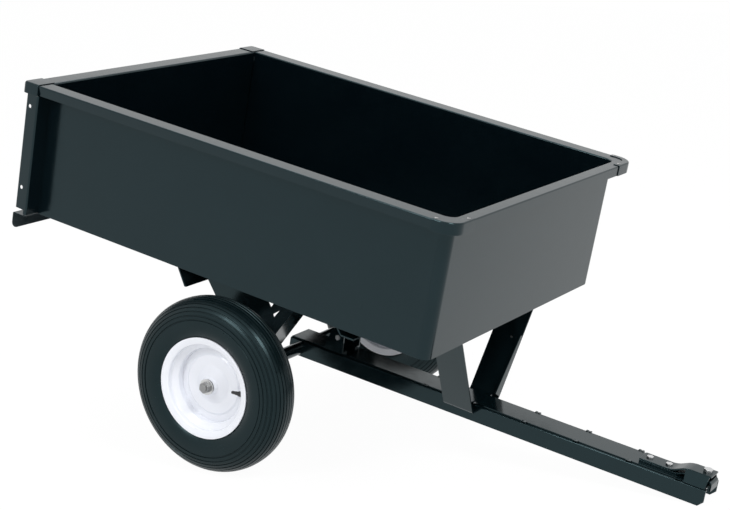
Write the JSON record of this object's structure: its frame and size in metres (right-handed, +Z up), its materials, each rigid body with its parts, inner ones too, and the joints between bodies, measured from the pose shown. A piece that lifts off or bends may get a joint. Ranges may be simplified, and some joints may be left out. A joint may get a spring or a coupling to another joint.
{
  "type": "tipping dump cart",
  "caption": "Tow-behind garden cart: a sheet-steel box that tips about its axle, with a lift-out tailgate, pneumatic wheels, a splayed stand and a drawbar with a pinned hitch.",
  "frame": {"origin": "on the ground, under the middle of the cart's length and width, with the drawbar's tip resting on the ground", "axes": "+X forward along the drawbar, +Y to the cart's left, +Z up"},
  "size_m": [1.5968, 0.9144, 0.8708],
  "materials": {
    "box_paint": "semi-gloss black powder coat",
    "frame_paint": "semi-gloss black powder coat",
    "zinc": "zinc-plated",
    "tyre": "matt rubber",
    "wheel_white": "gloss white paint",
    "bush": "plain",
    "valve_rubber": "matt rubber"
  },
  "bodies": {
    "chassis": {"drawbar": "frame_paint", "axle": "frame_paint", "axle_spacers": "frame_paint", "left_stand_leg": "frame_paint", "right_stand_leg": "frame_paint", "stand_crossbar": "frame_paint", "crossbar_bolts": "zinc", "drawbar_ears": "frame_paint", "ear_bolt": "zinc", "hitch_upper_plate": "frame_paint", "hitch_lower_plate": "frame_paint", "hitch_bolts": "zinc", "wheel_washers": "zinc", "axle_nuts": "zinc"},
    "drawn_pin": {"hitch_pin": "zinc"},
    "left_wheel": {"left_tyre": "tyre", "left_rim": "wheel_white", "left_hub": "wheel_white", "left_bushes": "bush", "left_valve": "valve_rubber"},
    "right_wheel": {"right_tyre": "tyre", "right_rim": "wheel_white", "right_hub": "wheel_white", "right_bushes": "bush", "right_valve": "valve_rubber"},
    "box": {"bed_floor": "box_paint", "left_side_panel": "box_paint", "right_side_panel": "box_paint", "front_panel": "box_paint", "front_left_cap": "box_paint", "front_right_cap": "box_paint", "cap_rivets": "zinc", "left_axle_bracket": "frame_paint", "right_axle_bracket": "frame_paint", "bracket_bolts": "zinc", "left_outrigger": "frame_paint", "right_outrigger": "frame_paint", "front_cross_member": "frame_paint"},
    "gate": {"tailgate": "box_paint", "rear_left_cap": "box_paint", "rear_right_cap": "box_paint"}
  },
  "joints": [
    {"name": "dump", "type": "hinge", "parent": "chassis", "child": "box", "pos_m": [-0.25268, 0, 0.205], "axis": [0, -1, 0], "range_deg": [0, 42]},
    {"name": "left_wheel_spin", "type": "hinge", "parent": "chassis", "child": "left_wheel", "pos_m": [-0.25268, 0, 0.205], "axis": [0, 1, 0], "continuous": true},
    {"name": "right_wheel_spin", "type": "hinge", "parent": "chassis", "child": "right_wheel", "pos_m": [-0.25268, 0, 0.205], "axis": [0, 1, 0], "continuous": true},
    {"name": "tailgate_lift", "type": "slide", "parent": "box", "child": "gate", "axis": [0.1888, 0, 0.982], "range_m": [0, 0.32]},
    {"name": "hitch_pin_draw", "type": "slide", "parent": "chassis", "child": "drawn_pin", "axis": [0.1734, 0, 0.9849], "range_m": [0, 0.045]}
  ]
}
